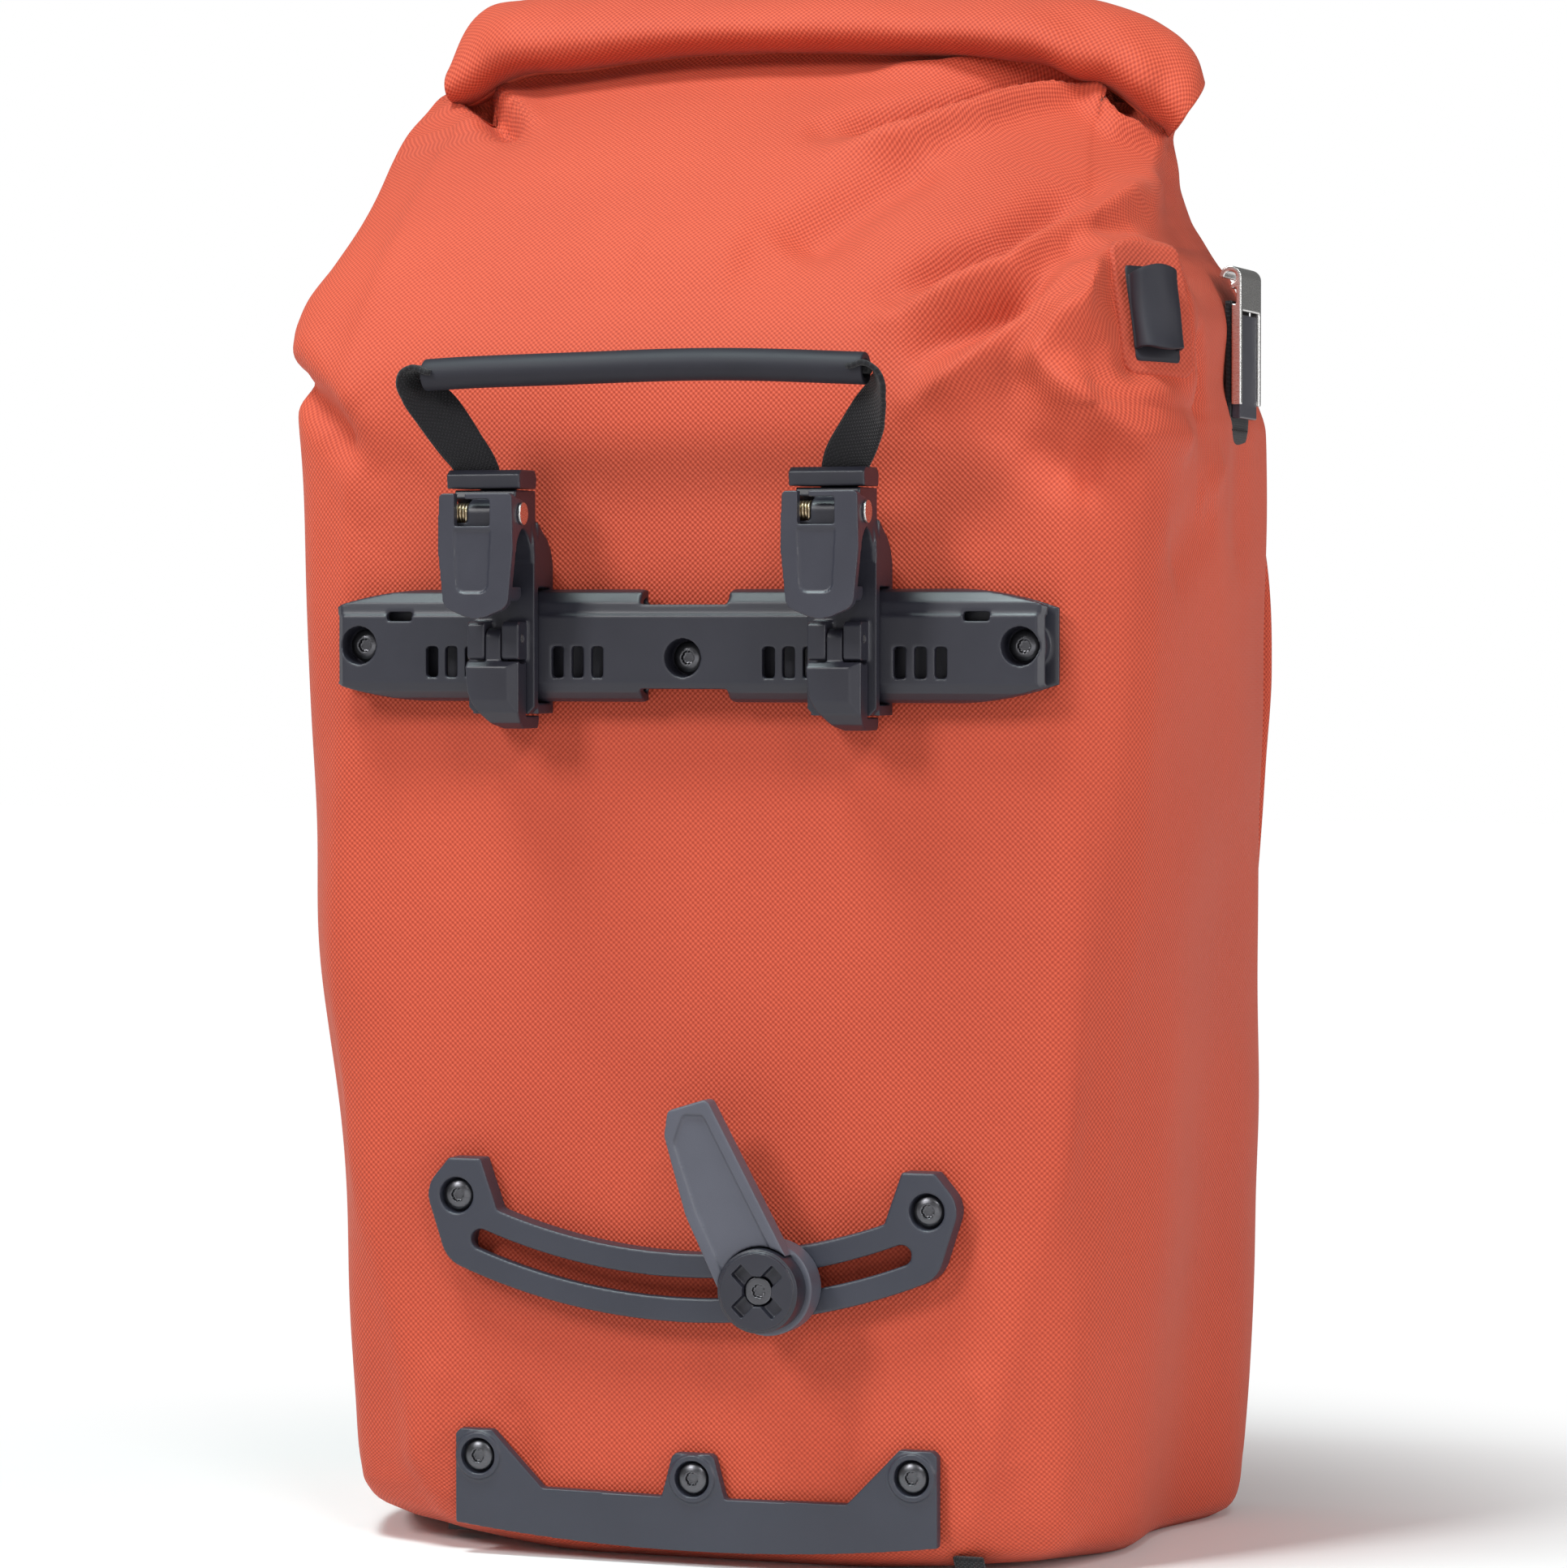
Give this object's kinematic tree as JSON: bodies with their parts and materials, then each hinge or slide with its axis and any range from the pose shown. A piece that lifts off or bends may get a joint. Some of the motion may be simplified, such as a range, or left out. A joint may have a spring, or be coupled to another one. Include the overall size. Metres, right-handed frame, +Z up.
{
  "type": "pannier bag",
  "caption": "Roll-top bicycle pannier bag with quick-mount rack hooks on a rail, a swivelling anchor foot on an arc rail, carry handle and zipped outer pocket.",
  "frame": {"origin": "centre of the bounding box in plan, on the surface the bag stands on", "axes": "+Z up, -Y towards the rack (the side with the hooks), +X to the right when looking at the hook side"},
  "size_m": [0.2838, 0.2198, 0.473],
  "materials": {
    "orange_fabric": "coarse coated weave",
    "black_webbing": "woven webbing",
    "charcoal_plastic": "fine moulded grain",
    "black_plastic": "fine moulded grain",
    "steel": "satin",
    "grey_rubber": "soft matte",
    "brass_wire": "drawn wire"
  },
  "bodies": {
    "bag": {"back_panel": "orange_fabric", "front_panel": "orange_fabric", "side_panel_left": "orange_fabric", "side_panel_right": "orange_fabric", "base_panel": "orange_fabric", "roll_closure": "orange_fabric", "roll_stiffener": "black_plastic", "back_stiffener": "charcoal_plastic", "base_board": "charcoal_plastic", "front_pocket": "orange_fabric", "zipper_tape": "black_webbing", "zipper_coil": "black_plastic", "top_rail": "black_plastic", "rail_bolts": "black_plastic", "rail_nuts": "steel", "arc_rail": "charcoal_plastic", "arc_bolts": "black_plastic", "arc_nuts": "steel", "scuff_plate": "charcoal_plastic", "scuff_bolts": "black_plastic", "scuff_nuts": "steel", "side_patch": "grey_rubber", "side_loop": "grey_rubber", "side_strap_left": "black_webbing", "side_strap_right": "black_webbing", "side_tab_left": "charcoal_plastic", "side_tab_right": "charcoal_plastic", "bottom_loop": "black_webbing"},
    "hook_left": {"hook_body_left": "black_plastic", "jaw_pin_left": "steel", "latch_pin_left": "steel", "jaw_spring_left": "brass_wire"},
    "jaw_left": {"hook_jaw_left": "charcoal_plastic"},
    "latch_left": {"rail_latch_left": "black_plastic"},
    "cap_left": {"strap_cap_left": "black_plastic"},
    "closure_hook_left": {"side_hook_left": "steel"},
    "hook_right": {"hook_body_right": "black_plastic", "jaw_pin_right": "steel", "latch_pin_right": "steel", "jaw_spring_right": "brass_wire"},
    "jaw_right": {"hook_jaw_right": "charcoal_plastic"},
    "latch_right": {"rail_latch_right": "black_plastic"},
    "cap_right": {"strap_cap_right": "black_plastic"},
    "closure_hook_right": {"side_hook_right": "steel"},
    "handle": {"handle_grip": "grey_rubber", "handle_webbing": "black_webbing"},
    "foot_carriage": {"foot_nut": "steel", "foot_knob": "black_plastic", "foot_bolt": "steel"},
    "foot": {"foot_arm": "charcoal_plastic"},
    "zip_runner": {"zip_slider": "steel"},
    "zip_tag": {"zip_pull": "grey_rubber"}
  },
  "joints": [
    {"name": "handle_lift", "type": "slide", "parent": "bag", "child": "handle", "axis": [0, 0, 1], "range_m": [0, 0.01], "stiffness_N_per_m": 600, "springref_m": -0.004, "deforming": ["handle_webbing"]},
    {"name": "hook_left_slide", "type": "slide", "parent": "bag", "child": "hook_left", "axis": [1, 0, 0], "range_m": [-0.012, 0.012]},
    {"name": "jaw_left_hinge", "type": "hinge", "parent": "hook_left", "child": "jaw_left", "pos_m": [-0.055, -0.0964, 0.3082], "axis": [-1, 0, 0], "range_deg": [0, 35], "deforming": ["jaw_spring_left"]},
    {"name": "latch_left_hinge", "type": "hinge", "parent": "hook_left", "child": "latch_left", "pos_m": [-0.055, -0.0866, 0.272], "axis": [-1, 0, 0], "range_deg": [0, 50]},
    {"name": "cap_left_shift", "type": "slide", "parent": "handle", "child": "cap_left", "axis": [1, 0, 0], "range_m": [-0.012, 0.012]},
    {"name": "hook_right_slide", "type": "slide", "parent": "bag", "child": "hook_right", "axis": [1, 0, 0], "range_m": [-0.012, 0.012]},
    {"name": "jaw_right_hinge", "type": "hinge", "parent": "hook_right", "child": "jaw_right", "pos_m": [0.05, -0.0964, 0.3082], "axis": [-1, 0, 0], "range_deg": [0, 35], "deforming": ["jaw_spring_right"]},
    {"name": "latch_right_hinge", "type": "hinge", "parent": "hook_right", "child": "latch_right", "pos_m": [0.05, -0.0866, 0.272], "axis": [-1, 0, 0], "range_deg": [0, 50]},
    {"name": "cap_right_shift", "type": "slide", "parent": "handle", "child": "cap_right", "axis": [1, 0, 0], "range_m": [-0.012, 0.012]},
    {"name": "foot_travel", "type": "hinge", "parent": "bag", "child": "foot_carriage", "pos_m": [0, -0.0711, 0.2665], "axis": [0, 1, 0], "range_deg": [-9, 26]},
    {"name": "foot_swivel", "type": "hinge", "parent": "foot_carriage", "child": "foot", "pos_m": [0.02752, -0.0841, 0.08457], "axis": [0, 1, 0], "range_deg": [-90, 90]},
    {"name": "zip_travel", "type": "slide", "parent": "bag", "child": "zip_runner", "axis": [0, 0, -1], "range_m": [0, 0.11]},
    {"name": "zip_pull_swing", "type": "hinge", "parent": "zip_runner", "child": "zip_tag", "pos_m": [0.1244, 0.1025, 0.3124], "axis": [0, -1, 0], "range_deg": [0, 120]},
    {"name": "closure_hook_left_hinge", "type": "hinge", "parent": "bag", "child": "closure_hook_left", "pos_m": [-0.1385, 0.0349, 0.343], "axis": [0, -1, 0], "range_deg": [0, 95]},
    {"name": "closure_hook_right_hinge", "type": "hinge", "parent": "bag", "child": "closure_hook_right", "pos_m": [0.1385, 0.0349, 0.343], "axis": [0, 1, 0], "range_deg": [0, 95]}
  ],
  "couplings": [
    {"joint": "jaw_left_hinge", "follows": "handle_lift", "rad_per_m": 61},
    {"joint": "cap_left_shift", "follows": "hook_left_slide", "ratio": 1},
    {"joint": "jaw_right_hinge", "follows": "handle_lift", "rad_per_m": 61},
    {"joint": "cap_right_shift", "follows": "hook_right_slide", "ratio": 1}
  ]
}
